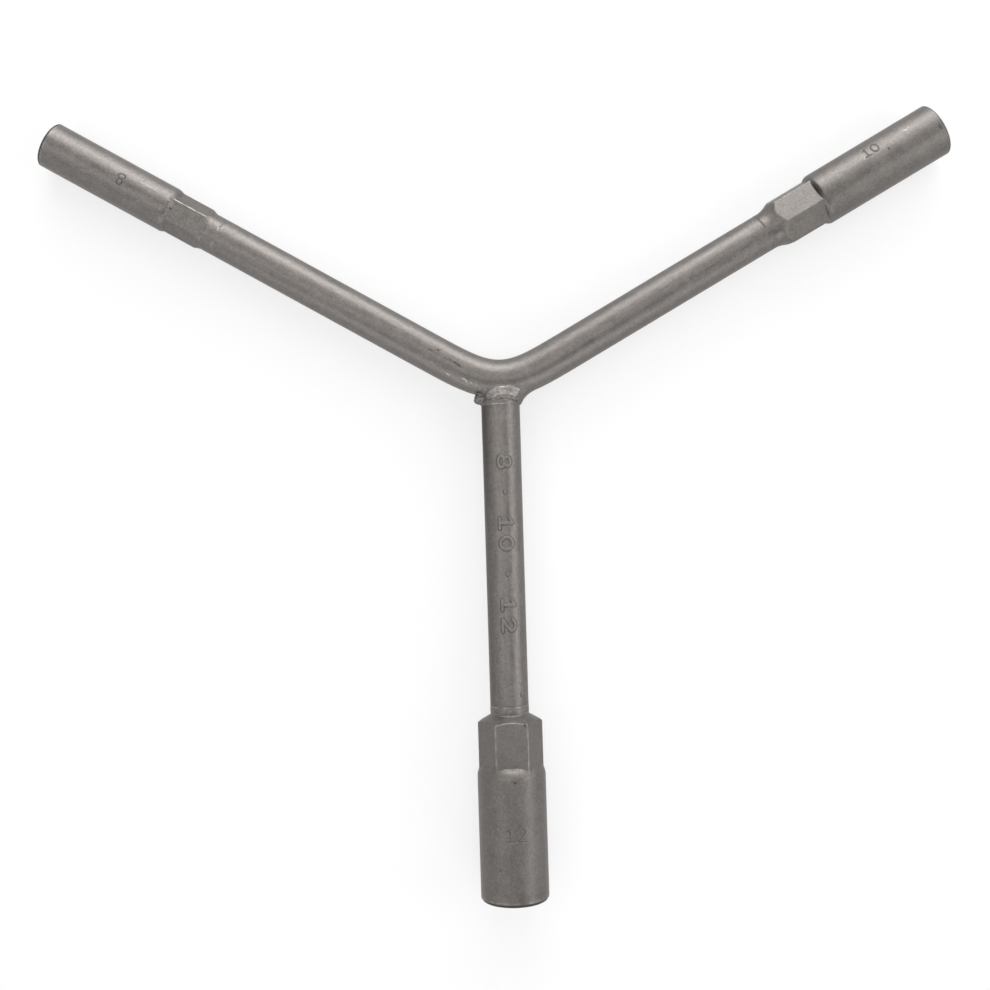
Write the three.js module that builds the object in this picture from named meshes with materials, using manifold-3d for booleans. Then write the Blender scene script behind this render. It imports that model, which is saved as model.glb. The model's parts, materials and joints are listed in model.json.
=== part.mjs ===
// A three-way socket wrench: a bent round bar and a straight leg bar welded at the middle,
// with a deep hexagon socket butt-welded to each of the three ends.
// Lengths are in millimetres, angles in degrees. +X is right, +Y points away from the leg, +Z is up.

import * as THREE from "three";
import { mergeVertices } from "three/addons/utils/BufferGeometryUtils.js";
import Module from "manifold-3d";

const wasm = await Module();
wasm.setup();

// Round bars
const barDiameter = 10;
const bendRadius = 19;
const armSpread = 120.3;
const legLean = 0.6;

// Clearances
const fitGap = 0.3;
const cutOverrun = 2;
const joinOverlap = 0.5;

// The full angle at the point of the drill that opens the bores
const drillPointAngle = 118;

// A bevel at 45 degrees that is moved out by a gap shifts its corners by this share of the gap
const bevelCornerShare = Math.tan(Math.PI / 8);

// Smoothness of round shapes
const roundSides = 48;
const bendSteps = 12;
const arcSteps = 4;

// Butt welds between a bar's end and a socket's neck
const weldNoseDiameter = 6;
const weldProud = 0.05;

// Weld between the leg bar and the bend
const legBevel = 1.6;
const centreWeldSideReach = 7.3;
const centreWeldFrontReach = 5.3;
const centreWeldToeReach = 5.1;
const centreWeldFilletLength = 3.4;
const centreWeldTopHeight = 1.3;
const weldDropRadius = 1.7;
const weldDropSide = 5.5;
const weldDropDepth = 2.3;
const weldDropFront = 1.2;

// Each socket: reach is the distance from the crossing of the bar centre lines to the mouth
const smallSocket = {
  node: "socket_8mm",
  weldNode: "socket_8mm_weld",
  armTurn: armSpread / 2,
  boltFlats: 8,
  boltClearance: 0.1,
  reach: 133.3,
  barrelDiameter: 12,
  barrelLength: 35.1,
  shoulderLength: 1.9,
  hexFlats: 9.8,
  hexCorners: 11.3,
  hexLength: 8.5,
  hexTurn: 29,
  crownLength: 2,
  crownIsCurved: true,
  neckLength: 3,
  grooveWidth: 4.1,
  mouthChamferWidth: 0.2,
  mouthChamferLength: 0.2,
  leadInWidth: 0.25,
  hexBoreDepth: 12,
  pilotBoreDepth: 28,
};
const mediumSocket = {
  node: "socket_10mm",
  weldNode: "socket_10mm_weld",
  armTurn: -armSpread / 2,
  boltFlats: 10,
  boltClearance: 0.1,
  reach: 131.9,
  barrelDiameter: 14,
  barrelLength: 34.9,
  shoulderLength: 1.5,
  hexFlats: 11.8,
  hexCorners: 13.6,
  hexLength: 10.4,
  hexTurn: 10,
  crownLength: 4.7,
  crownIsCurved: true,
  neckLength: 1,
  grooveWidth: 3.6,
  mouthChamferWidth: 0.2,
  mouthChamferLength: 0.2,
  leadInWidth: 0.25,
  hexBoreDepth: 14,
  pilotBoreDepth: 28,
};
const largeSocket = {
  node: "socket_12mm",
  weldNode: "socket_12mm_weld",
  armTurn: 180 + legLean,
  boltFlats: 12,
  boltClearance: 0.1,
  reach: 132,
  barrelDiameter: 17.8,
  barrelLength: 32.3,
  shoulderLength: 2.8,
  hexFlats: 14.7,
  hexCorners: 17,
  hexLength: 11,
  hexTurn: 28,
  crownLength: 2,
  crownIsCurved: false,
  neckLength: 0.3,
  grooveWidth: 2,
  mouthChamferWidth: 0.5,
  mouthChamferLength: 0.75,
  leadInWidth: 0.35,
  hexBoreDepth: 16,
  pilotBoreDepth: 27,
};
const sockets = [smallSocket, mediumSocket, largeSocket];

const barRadius = barDiameter / 2;
const bendHalfTurn = THREE.MathUtils.degToRad(90 - armSpread / 2);
const weldNoseRadius = weldNoseDiameter / 2;

// Colours and finish
const finishes = {
  bar: new THREE.MeshStandardMaterial({ color: 0x86827e, roughness: 0.42, metalness: 0.9 }),
  socket: new THREE.MeshStandardMaterial({ color: 0x8a8682, roughness: 0.4, metalness: 0.9 }),
  weld: new THREE.MeshStandardMaterial({ color: 0x7d7975, roughness: 0.5, metalness: 0.9 }),
};

// Solids from geometries, and back

function solidOf(geometry) {
  const bare = geometry.clone();
  bare.deleteAttribute("normal");
  bare.deleteAttribute("uv");
  const merged = mergeVertices(bare);
  const corners = merged.index.array;
  const triangles = [];
  for (let i = 0; i < corners.length; i += 3) {
    const [a, b, c] = [corners[i], corners[i + 1], corners[i + 2]];
    if (a !== b && b !== c && c !== a) {
      triangles.push(a, b, c);
    }
  }
  const vertProperties = new Float32Array(merged.attributes.position.array);
  const triVerts = new Uint32Array(triangles);
  return new wasm.Manifold(new wasm.Mesh({ numProp: 3, vertProperties, triVerts }));
}

function geometryOf(solid) {
  const mesh = solid.getMesh();
  const geometry = new THREE.BufferGeometry();
  geometry.setAttribute("position", new THREE.BufferAttribute(mesh.vertProperties, mesh.numProp));
  geometry.setIndex(new THREE.BufferAttribute(mesh.triVerts, 1));
  const flat = geometry.toNonIndexed();
  flat.computeVertexNormals();
  return flat;
}

function meshOf(name, solid, finish) {
  const mesh = new THREE.Mesh(geometryOf(solid), finish);
  mesh.name = name;
  return mesh;
}

// Shapes along an arm: an arm's own axis is +Y, from the crossing outwards

function turned(profile) {
  const points = profile.map(([radius, along]) => new THREE.Vector2(radius, along));
  return new THREE.LatheGeometry(points, roundSides);
}

function hexPrism(flats, from, to, turn) {
  const cornerRadius = flats / Math.sqrt(3);
  const prism = new THREE.CylinderGeometry(cornerRadius, cornerRadius, to - from, 6);
  prism.rotateY(THREE.MathUtils.degToRad(turn));
  prism.translate(0, (from + to) / 2, 0);
  return prism;
}

// Places along one arm, worked out from the mouth inwards
function stationsOf(socket) {
  const mouth = socket.reach;
  const barrelStart = mouth - socket.barrelLength;
  const shoulderStart = barrelStart - socket.shoulderLength;
  const hexStart = shoulderStart - socket.hexLength;
  const neckEnd = hexStart - socket.crownLength;
  const grooveEnd = neckEnd - socket.neckLength;
  const root = grooveEnd - socket.grooveWidth / 2;
  const grooveStart = root - socket.grooveWidth / 2;
  return { mouth, barrelStart, shoulderStart, hexStart, neckEnd, grooveEnd, root, grooveStart };
}

// Arm bar: one round bar with a rounded bend in its middle

// The bar's centre line: straight, round the bend, straight. Each straight takes one step.
class BentCentreLine extends THREE.Curve {
  constructor(endA, endB) {
    super();
    const centreHeight = bendRadius / Math.cos(bendHalfTurn);
    this.stops = [endA];
    for (let i = 0; i <= bendSteps; i += 1) {
      const angle = THREE.MathUtils.lerp(-bendHalfTurn, bendHalfTurn, i / bendSteps);
      const across = bendRadius * Math.sin(angle);
      const height = centreHeight - bendRadius * Math.cos(angle);
      this.stops.push(new THREE.Vector3(across, height, 0));
    }
    this.stops.push(endB);
  }

  getPoint(t, target = new THREE.Vector3()) {
    const place = t * (this.stops.length - 1);
    const step = Math.min(Math.floor(place), this.stops.length - 2);
    return target.lerpVectors(this.stops[step], this.stops[step + 1], place - step);
  }

  getUtoTmapping(u) {
    return u;
  }

  getTangent(t, target = new THREE.Vector3()) {
    const share = (t * (this.stops.length - 1) - 1) / bendSteps;
    const bendShare = THREE.MathUtils.clamp(share, 0, 1);
    const angle = THREE.MathUtils.lerp(-bendHalfTurn, bendHalfTurn, bendShare);
    return target.set(Math.cos(angle), Math.sin(angle), 0);
  }
}

function armDirection(socket) {
  const turn = THREE.MathUtils.degToRad(socket.armTurn);
  return new THREE.Vector3(-Math.sin(turn), Math.cos(turn), 0);
}

function circleShape(radius) {
  const shape = new THREE.Shape();
  for (let i = 0; i < roundSides; i += 1) {
    const angle = (i / roundSides) * 2 * Math.PI;
    const x = radius * Math.cos(angle);
    const y = radius * Math.sin(angle);
    if (i === 0) {
      shape.moveTo(x, y);
    } else {
      shape.lineTo(x, y);
    }
  }
  shape.closePath();
  return shape;
}

function bentBar(radius, smallReach, mediumReach) {
  const path = new BentCentreLine(
    armDirection(smallSocket).multiplyScalar(smallReach),
    armDirection(mediumSocket).multiplyScalar(mediumReach),
  );
  return new THREE.ExtrudeGeometry(circleShape(radius), {
    steps: path.stops.length - 1,
    extrudePath: path,
    bevelEnabled: false,
  });
}

// The bar's end stops half a gap short of the root, bevelled from its nose to the groove's edge
function barEndCutter(socket) {
  const { root, grooveStart } = stationsOf(socket);
  const nose = root - fitGap / 2;
  const outside = barRadius + cutOverrun;
  const cutter = turned([
    [0, nose],
    [weldNoseRadius, nose],
    [barRadius, grooveStart],
    [outside, grooveStart],
    [outside, root + cutOverrun],
    [0, root + cutOverrun],
  ]);
  cutter.rotateZ(THREE.MathUtils.degToRad(socket.armTurn));
  return solidOf(cutter);
}

function makeArmBar() {
  const bar = solidOf(bentBar(barRadius, stationsOf(smallSocket).root, stationsOf(mediumSocket).root));
  const cut = bar.subtract(barEndCutter(smallSocket)).subtract(barEndCutter(mediumSocket));
  return meshOf("arm_bar", cut, finishes.bar);
}

// Leg bar: straight, with a bevelled nose against the outside of the bend

const bendOutsideAlong = barRadius + bendRadius - bendRadius / Math.cos(bendHalfTurn);
const legNoseRadius = barRadius - legBevel;
const legNoseAlong = bendOutsideAlong + fitGap;
const legToeAlong = legNoseAlong + legBevel;

function makeLegBar() {
  const { root, grooveStart } = stationsOf(largeSocket);
  const bar = turned([
    [0, legNoseAlong],
    [legNoseRadius, legNoseAlong],
    [barRadius, legToeAlong],
    [barRadius, grooveStart],
    [weldNoseRadius, root - fitGap / 2],
    [0, root - fitGap / 2],
  ]);
  return meshOf("leg_bar", solidOf(bar), finishes.bar);
}

// Centre weld: a fillet all round the leg bar's nose, drawn along the leg's own axis

// The fillet's side outline is hollow: a curve from its widest place down to its toe on the leg bar
function filletProfile() {
  const widest = new THREE.Vector2(centreWeldSideReach, legToeAlong - centreWeldFilletLength);
  const toe = new THREE.Vector2(centreWeldToeReach, legToeAlong);
  const hollowShares = new THREE.Vector2(0.7, 0.55);
  const pull = new THREE.Vector2(
    THREE.MathUtils.lerp(widest.x, toe.x, hollowShares.x),
    THREE.MathUtils.lerp(widest.y, toe.y, hollowShares.y),
  );
  const hollow = new THREE.QuadraticBezierCurve(widest, pull, toe).getPoints(arcSteps);
  return [
    [0, -centreWeldTopHeight],
    [centreWeldSideReach, -centreWeldTopHeight],
    ...hollow.map((point) => [point.x, point.y]),
    [0, legToeAlong],
  ];
}

function makeCentreWeld() {
  const fillet = turned(filletProfile());
  const position = fillet.attributes.position;
  for (let i = 0; i < position.count; i += 1) {
    const radius = Math.hypot(position.getX(i), position.getZ(i));
    if (radius > centreWeldFrontReach) {
      position.setZ(i, position.getZ(i) * centreWeldFrontReach / radius);
    }
  }
  const drop = new THREE.SphereGeometry(weldDropRadius, roundSides / 3, roundSides / 4);
  drop.translate(weldDropSide, weldDropDepth, weldDropFront);
  const grownLeg = turned([
    [0, legNoseAlong - fitGap],
    [legNoseRadius + fitGap * bevelCornerShare, legNoseAlong - fitGap],
    [barRadius + fitGap, legToeAlong - fitGap * bevelCornerShare],
    [barRadius + fitGap, legToeAlong + cutOverrun],
    [0, legToeAlong + cutOverrun],
  ]);
  const grownBend = bentBar(barRadius + fitGap, smallSocket.reach, mediumSocket.reach);
  grownBend.rotateZ(-THREE.MathUtils.degToRad(largeSocket.armTurn));
  const weld = solidOf(fillet).add(solidOf(drop));
  const seated = weld.subtract(solidOf(grownLeg)).subtract(solidOf(grownBend));
  return meshOf("centre_weld", seated, finishes.weld);
}

// Butt weld: a ring that fills the groove between a bar's bevelled end and a socket's neck
function makeButtWeld(socket) {
  const { root } = stationsOf(socket);
  const rise = barRadius - weldNoseRadius;
  const slope = (socket.grooveWidth / 2 - fitGap / 2) / rise;
  const sideGap = fitGap * Math.hypot(1, slope);
  const halfWidthAt = (radius) => fitGap / 2 + (radius - weldNoseRadius) * slope - sideGap;
  const crownRadius = barRadius + weldProud;
  const innerRadius = weldNoseRadius + rise / 2;
  const profile = [
    [innerRadius, root - halfWidthAt(innerRadius)],
    [crownRadius, root - halfWidthAt(barRadius)],
    [crownRadius, root + halfWidthAt(barRadius)],
    [innerRadius, root + halfWidthAt(innerRadius)],
    [innerRadius, root - halfWidthAt(innerRadius)],
  ];
  return meshOf(socket.weldNode, solidOf(turned(profile)), finishes.weld);
}

// Socket: turned neck and barrel with a milled hexagon between, and a blind hexagon bore

// From the neck to the hexagon's corners: a plain cone, or an arc that leaves the neck smoothly
function crownProfile(socket, neckEnd, hexStart) {
  const cornerRadius = socket.hexCorners / 2;
  if (!socket.crownIsCurved) {
    return [[barRadius, neckEnd], [cornerRadius, hexStart]];
  }
  const rise = cornerRadius - barRadius;
  const run = socket.crownLength;
  const arcRadius = (run * run + rise * rise) / (2 * rise);
  const points = [];
  for (let i = 0; i <= arcSteps; i += 1) {
    const along = run * i / arcSteps;
    const radius = barRadius + arcRadius - Math.sqrt(arcRadius * arcRadius - along * along);
    points.push([radius, neckEnd + along]);
  }
  return points;
}

// From the flats up to the barrel: a quarter of an ellipse that ends along the barrel
function shoulderProfile(socket, shoulderStart) {
  const flatRadius = socket.hexFlats / 2;
  const rise = socket.barrelDiameter / 2 - flatRadius;
  const points = [];
  for (let i = 0; i <= arcSteps; i += 1) {
    const angle = (i / arcSteps) * Math.PI / 2;
    const along = shoulderStart + socket.shoulderLength * (1 - Math.cos(angle));
    points.push([flatRadius + rise * Math.sin(angle), along]);
  }
  return points;
}

function socketBody(socket) {
  const { mouth, barrelStart, shoulderStart, hexStart, neckEnd, grooveEnd, root } = stationsOf(socket);
  const nose = root + fitGap / 2;
  const cornerRadius = socket.hexCorners / 2;
  const barrelRadius = socket.barrelDiameter / 2;
  const neck = turned([
    [0, nose],
    [weldNoseRadius, nose],
    [barRadius, grooveEnd],
    [barRadius, neckEnd + joinOverlap],
    [0, neckEnd + joinOverlap],
  ]);
  const shank = turned([
    [0, neckEnd],
    ...crownProfile(socket, neckEnd, hexStart),
    [cornerRadius, barrelStart],
    [0, barrelStart],
  ]);
  const flats = hexPrism(socket.hexFlats, neckEnd - joinOverlap, mouth, socket.hexTurn);
  const barrel = turned([
    [0, shoulderStart],
    ...shoulderProfile(socket, shoulderStart),
    [barrelRadius, mouth - socket.mouthChamferLength],
    [barrelRadius - socket.mouthChamferWidth, mouth],
    [0, mouth],
  ]);
  return solidOf(neck).add(solidOf(shank).intersect(solidOf(flats))).add(solidOf(barrel));
}

// The bore is drilled first, as wide as its flats, then the hexagon is pressed in from the mouth
function socketBore(socket) {
  const { mouth } = stationsOf(socket);
  const boreFlats = socket.boltFlats + socket.boltClearance;
  const pilotRadius = boreFlats / 2;
  const drillPointLength = pilotRadius / Math.tan(THREE.MathUtils.degToRad(drillPointAngle / 2));
  const pilot = turned([
    [0, mouth - socket.pilotBoreDepth - drillPointLength],
    [pilotRadius, mouth - socket.pilotBoreDepth],
    [pilotRadius, mouth + cutOverrun],
    [0, mouth + cutOverrun],
  ]);
  const hex = hexPrism(boreFlats, mouth - socket.hexBoreDepth, mouth + cutOverrun, socket.hexTurn);
  const leadInRadius = boreFlats / Math.sqrt(3) + socket.leadInWidth;
  const leadIn = turned([
    [0, mouth - leadInRadius],
    [leadInRadius + cutOverrun, mouth + cutOverrun],
    [0, mouth + cutOverrun],
  ]);
  return solidOf(pilot).add(solidOf(hex)).add(solidOf(leadIn));
}

function makeSocket(socket) {
  return meshOf(socket.node, socketBody(socket).subtract(socketBore(socket)), finishes.socket);
}

// Assembly about the crossing of the centre lines

const wrench = new THREE.Group();
wrench.add(makeArmBar());
for (const socket of sockets) {
  const arm = new THREE.Group();
  arm.rotation.z = THREE.MathUtils.degToRad(socket.armTurn);
  arm.add(makeSocket(socket));
  arm.add(makeButtWeld(socket));
  if (socket === largeSocket) {
    arm.add(makeLegBar());
    arm.add(makeCentreWeld());
  }
  wrench.add(arm);
}

// The wrench lies on its three barrels. Up, as the wrench sees it, is where the lowest
// circles of all three are level: the mouth circle on the thin barrels, the inner one on the thick.
function restingUp() {
  const rims = sockets.map((socket) => {
    const { mouth, barrelStart } = stationsOf(socket);
    const outer = mouth - socket.mouthChamferLength;
    const along = socket === largeSocket ? barrelStart : outer;
    const direction = armDirection(socket);
    return { centre: direction.clone().multiplyScalar(along), direction, radius: socket.barrelDiameter / 2 };
  });
  const plane = new THREE.Matrix3();
  plane.set(...rims.flatMap(({ centre }) => [centre.x, centre.y, 1]));
  plane.invert();
  const up = new THREE.Vector3(0, 0, 1);
  const solverRounds = 6;
  for (let round = 0; round < solverRounds; round += 1) {
    const drops = rims.map(({ direction, radius }) => {
      const lean = up.dot(direction);
      return radius * Math.sqrt(1 - lean * lean);
    });
    const solved = new THREE.Vector3(...drops).applyMatrix3(plane);
    up.set(solved.x, solved.y, Math.sqrt(1 - solved.x * solved.x - solved.y * solved.y));
  }
  return up;
}

const leaning = new THREE.Group();
leaning.quaternion.setFromUnitVectors(restingUp(), new THREE.Vector3(0, 0, 1));
leaning.add(wrench);

// The origin is on the floor, under the middle of the wrench
const group = new THREE.Group();
group.add(leaning);
group.updateMatrixWorld(true);
const box = new THREE.Box3().setFromObject(group, true);
const middle = box.getCenter(new THREE.Vector3());
leaning.position.set(-middle.x, -middle.y, -box.min.z);
group.updateMatrixWorld(true);

export default group;
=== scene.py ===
"""A Y-shaped socket wrench in satin plated steel, dressed around its CAD frame."""

import json
import math
from types import SimpleNamespace as Facts

import bpy
import numpy as np
from mathutils import Matrix, Vector


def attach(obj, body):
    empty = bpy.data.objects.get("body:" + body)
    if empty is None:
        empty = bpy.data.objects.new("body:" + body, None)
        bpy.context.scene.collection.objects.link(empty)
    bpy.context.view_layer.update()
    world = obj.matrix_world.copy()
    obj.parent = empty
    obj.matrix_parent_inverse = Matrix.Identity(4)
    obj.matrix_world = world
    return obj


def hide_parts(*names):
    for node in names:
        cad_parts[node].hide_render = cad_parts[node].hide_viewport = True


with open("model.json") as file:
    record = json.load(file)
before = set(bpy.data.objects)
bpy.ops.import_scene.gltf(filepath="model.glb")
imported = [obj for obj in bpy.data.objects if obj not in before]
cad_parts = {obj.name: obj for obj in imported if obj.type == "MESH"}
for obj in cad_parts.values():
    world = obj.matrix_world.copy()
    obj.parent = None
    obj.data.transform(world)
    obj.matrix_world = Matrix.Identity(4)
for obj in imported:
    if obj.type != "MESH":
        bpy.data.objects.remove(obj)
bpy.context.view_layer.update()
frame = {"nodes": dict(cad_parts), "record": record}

# Sizes of the wrench, in millimetres and degrees, as its frame holds them
MM = 0.001
BAR_RADIUS = 5.0
ARM_SPREAD = 120.3
LEG_LEAN = 0.6
NOSE_RADIUS = 3.0
NOSE_GAP = 0.15
LEG_NOSE = 2.4
LEG_TOE = 3.99

# The three sockets side by side. Turns, sides and leans are in degrees.
SOCKET_NODES = ("socket_8mm", "socket_10mm", "socket_12mm")
SOCKET_TABLE = {
    # Sizes as the frame holds them
    "bore_flats": (8.1, 10.1, 12.1),
    "reach": (133.3, 131.9, 132.0),
    "barrel_radius": (6.0, 7.0, 8.9),
    "barrel_length": (35.1, 34.9, 32.3),
    "shoulder_length": (1.9, 1.5, 2.8),
    "hex_flats": (9.8, 11.8, 14.7),
    "hex_corners": (11.3, 13.6, 17.0),
    "hex_length": (8.5, 10.4, 11.0),
    "hex_turn": (29.0, 10.0, 28.0),
    "crown_length": (2.0, 4.7, 2.0),
    "crown_is_curved": (True, True, False),
    "neck_length": (3.0, 1.0, 0.3),
    "groove_width": (4.1, 3.6, 2.0),
    "chamfer_width": (0.2, 0.2, 0.5),
    "chamfer_length": (0.2, 0.2, 0.75),
    "lead_in": (0.25, 0.25, 0.35),
    "hex_depth": (12.0, 14.0, 16.0),
    "pilot_depth": (28.0, 28.0, 27.0),
    # The step from the hexagon up to the barrel: a lower softness is squarer. Shade is painted in it on
    # one side.
    "step_softness": (0.8, 0.5, 0.75),
    "step_rounding": (0.35, 0.12, 0.4),
    "step_dirt": (0.1, 0.9, 0.0),
    "dirt_side": (0.0, -20.0, 0.0),
    # How brightly the hexagon's edges are worn, except on their dull side
    "edge_wear": (1.0, 0.5, 1.0),
    "dull_side": (-31.0, 10.0, 148.0),
    # How far painted shade reaches up the barrel from the mouth, and how brightly the edge above it is
    # worn
    "mouth_dirt": (0.3, 0.1, 0.05),
    "mouth_wear": (0.5, 0.15, 0.8),
    # How proud the butt weld stands, how uneven it is, and how bright the highlight painted along its
    # edges is
    "ring_proud": (0.012, 0.006, 0.05),
    "ring_lumps": (0.006, 0.003, 0.015),
    "ring_wear": (0.6, 0.05, 1.2),
    # The stamped size: its numerals and their places in the word, where the word lies, and its lean
    "stamp_glyphs": ([("8", 0.0)], [("1", -1.3), ("0", 1.3)], [("1", -1.5), ("2", 1.5)]),
    "stamp_along": (111.0, 112.5, 113.5),
    "stamp_turn": (4.0, -32.0, -3.0),
    "stamp_height": (3.4, 3.3, 3.8),
    "stamp_lean": (90.0, 90.0, 180.0),
}

# The finished surface stays this far inside the CAD's round sizes, and dips by up to the wave height
SKIN_DEPTH = 0.02
WAVE_HEIGHT = 0.012
RING_STEP = 0.7
WAVE_COUNT = 24


def make_facts(column):
    """One socket's facts, with its places along the arm worked out from the mouth inwards."""
    socket = Facts(**{name: row[column] for name, row in SOCKET_TABLE.items()})
    socket.edge = socket.reach - socket.chamfer_length
    socket.barrel_start = socket.reach - socket.barrel_length
    socket.shoulder_start = socket.barrel_start - socket.shoulder_length
    socket.hex_start = socket.shoulder_start - socket.hex_length
    socket.neck_end = socket.hex_start - socket.crown_length
    socket.groove_end = socket.neck_end - socket.neck_length
    socket.root = socket.groove_end - socket.groove_width / 2
    socket.groove_start = socket.root - socket.groove_width / 2
    return socket


SOCKETS = {node: make_facts(column) for column, node in enumerate(SOCKET_NODES)}


# Where the arms are, read from the frame

def mouth_of(node):
    """The centre of a socket's mouth in millimetres, and the way it faces."""
    mount = next(m for m in frame["record"]["mounts"] if m["name"] == node + "_mouth")
    axis = np.array(mount["axis"]) / np.linalg.norm(mount["axis"])
    corners = np.array([v.co for v in frame["nodes"][node].data.vertices]) / MM
    side = np.cross(axis, (0, 0, 1))
    side /= np.linalg.norm(side)
    axes = np.array([side, axis, np.cross(side, axis)])
    local = corners @ axes.T
    rim = local[local[:, 1] > local[:, 1].max() - SKIN_DEPTH]
    middle = (rim.min(axis=0) + rim.max(axis=0)) / 2
    return middle @ axes, axis


def crossing_of(mouths):
    """The point nearest to all three arms' centre lines."""
    total, pull = np.zeros((3, 3)), np.zeros(3)
    for centre, axis in mouths:
        across = np.eye(3) - np.outer(axis, axis)
        total += across
        pull += across @ centre
    return np.linalg.solve(total, pull)


def place(side, along, up, origin):
    """A matrix with these axes; the origin is in millimetres."""
    matrix = np.eye(4)
    matrix[:3] = np.stack([side, along, up, np.array(origin) * MM], axis=1)
    return Matrix(matrix)


mouths = {node: mouth_of(node) for node in SOCKETS}
CROSSING = crossing_of(mouths.values())
UP = np.cross(mouths["socket_10mm"][1], mouths["socket_8mm"][1])
UP /= np.linalg.norm(UP)
ARMS = {node: place(np.cross(axis, UP), axis, UP, CROSSING) for node, (centre, axis) in mouths.items()}

bisector = mouths["socket_10mm"][1] + mouths["socket_8mm"][1]
bisector /= np.linalg.norm(bisector)
WRENCH = place(np.cross(bisector, UP), bisector, UP, CROSSING)
LEG = ARMS["socket_12mm"]


# Shapes from rows of points

def spaced(start, end, step, *close_ups):
    """Places from start to end, a step apart, or closer inside each (from, to, step) close-up."""
    cuts = {start, end}
    for low, high, _ in close_ups:
        cuts.update(c for c in (low, high) if start < c < end)
    cuts = sorted(cuts)
    places = [start]
    for low, high in zip(cuts[:-1], cuts[1:]):
        middle = (low + high) / 2
        pace = min([step] + [s for a, b, s in close_ups if a <= middle <= b])
        count = max(1, math.ceil((high - low) / pace - 1e-6))
        places.extend(low + (high - low) * (i + 1) / count for i in range(count))
    return np.array(places)


def soft_min(a, b, rounding):
    """The smaller of a and b, rounded where they cross."""
    blend = np.clip(0.5 + 0.5 * (b - a) / rounding, 0, 1)
    return b + (a - b) * blend - rounding * blend * (1 - blend)


def soft_max(a, b, rounding):
    return -soft_min(-a, -b, rounding)


def near(a, b, width):
    """1 where a and b are equal, fading to 0 a few widths apart."""
    return np.exp(-((a - b) / width) ** 2)


def facing(turn, side, width):
    """1 on one side of an arm, fading round it. All in degrees."""
    return near((turn - side + 180) % 360 - 180, 0, width)


def step_up(value, start, end):
    """0 before start, 1 after end, and smooth between."""
    share = np.clip((value - start) / (end - start), 0, 1)
    return share * share * (3 - 2 * share)


def waves(points, wavelength, seed):
    """Smooth seeded unevenness, mostly from -1 to 1: a sum of plane waves in many directions."""
    dice = np.random.default_rng(seed)
    ways = dice.normal(size=(WAVE_COUNT, 3))
    ways *= 2 * math.pi / wavelength / np.linalg.norm(ways, axis=1)[:, None]
    ways *= dice.uniform(0.6, 1.5, WAVE_COUNT)[:, None]
    starts = dice.uniform(0, 2 * math.pi, WAVE_COUNT)
    return np.cos(points @ ways.T + starts).sum(axis=-1) / math.sqrt(WAVE_COUNT)


def dips(points, wavelength, seed):
    """How far a barely uneven surface lies below its size, from 0 to the wave height."""
    return WAVE_HEIGHT * (0.5 + 0.5 * np.tanh(waves(points, wavelength, seed)))


def ring_points(radius, along, turn):
    """Points at these radii round the Y axis. A turn is measured from +Z towards +X."""
    radius, along, turn = np.broadcast_arrays(radius, along, turn)
    return np.stack([radius * np.sin(turn), along, radius * np.cos(turn)], axis=-1)


def skin(name, rows, marks, ends):
    """A closed mesh over rows of points. It closes at two end points, or where ends is None its last row
    joins its first. marks holds values for each point, under the names that the materials read."""
    count, sides = rows.shape[:2]
    points = rows.reshape(-1, 3)
    here = np.arange(sides)
    there = np.roll(here, -1)
    faces = []
    for row in range(count if ends is None else count - 1):
        a, b = row * sides, (row + 1) % count * sides
        faces.extend(np.stack([a + here, a + there, b + there, b + here], axis=1).tolist())
    if ends is not None:
        points = np.concatenate([points, ends])
        start, end = count * sides, count * sides + 1
        last = (count - 1) * sides
        faces.extend((start, int(t), int(h)) for h, t in zip(here, there))
        faces.extend((end, int(last + h), int(last + t)) for h, t in zip(here, there))
    mesh = bpy.data.meshes.new(name)
    mesh.from_pydata((points * MM).tolist(), [], faces)
    spare = len(points) - count * sides
    for key, values in marks.items():
        flat = np.pad(values.reshape(count * sides, -1), ((0, spare), (0, 0)))
        kind, field = ("FLOAT_VECTOR", "vector") if flat.shape[1] == 3 else ("FLOAT", "value")
        attribute = mesh.attributes.new(key, kind, "POINT")
        attribute.data.foreach_set(field, flat.astype(np.float32).ravel())
    mesh.shade_smooth()
    mesh.update()
    return mesh


def marks_of(rest, radius, wear, grime):
    """What the materials read. wrap is each point's place on the unrolled surface, round the arm and
    then along it, in millimetres."""
    turn = np.arctan2(rest[..., 0], rest[..., 2])
    wrap = np.stack([radius * turn, rest[..., 1], np.zeros(turn.shape)], axis=-1)
    # grime darkens real grime and painted shade alike; wear brightens real wear and painted highlights
    # alike
    return {"rest": rest, "wrap": wrap, "wear": wear, "grime": grime}


def add_object(name, data):
    piece = bpy.data.objects.new(name, data)
    bpy.context.scene.collection.objects.link(piece)
    return piece


def dress(name, rows, marks, ends, where, look, slot, *nodes):
    """Puts a skin in the scene in place of its CAD nodes."""
    mesh = skin(name, rows, marks, ends)
    mesh.transform(where)
    mesh.materials.append(MATERIALS[look])
    piece = add_object(name, mesh)
    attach(piece, "root")
    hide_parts(*nodes)


# Plain numerals as strokes, in a box one unit high and half as wide

ARC_POINTS = 16


def arc(across, up, wide, tall, start, end):
    """Points along part of an ellipse: its centre, half sizes, and angles in degrees."""
    angles = np.radians(np.linspace(start, end, ARC_POINTS))
    return np.stack([across + wide * np.cos(angles), up + tall * np.sin(angles)], axis=1)


NUMERALS = {
    "0": [arc(0, 0, 0.25, 0.42, 0, 360)],
    "1": [
        np.array([(-0.18, 0.24), (0.02, 0.42), (0.02, -0.42)]),
        np.array([(-0.2, -0.42), (0.24, -0.42)]),
    ],
    "2": [np.concatenate([arc(0, 0.19, 0.23, 0.23, 165, -38), [(-0.24, -0.42), (0.26, -0.42)]])],
    "8": [arc(0, 0.21, 0.19, 0.21, 0, 360), arc(0, -0.21, 0.24, 0.21, 0, 360)],
    ".": [np.array([(-0.03, 0.0), (0.03, 0.0)])],
}


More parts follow.
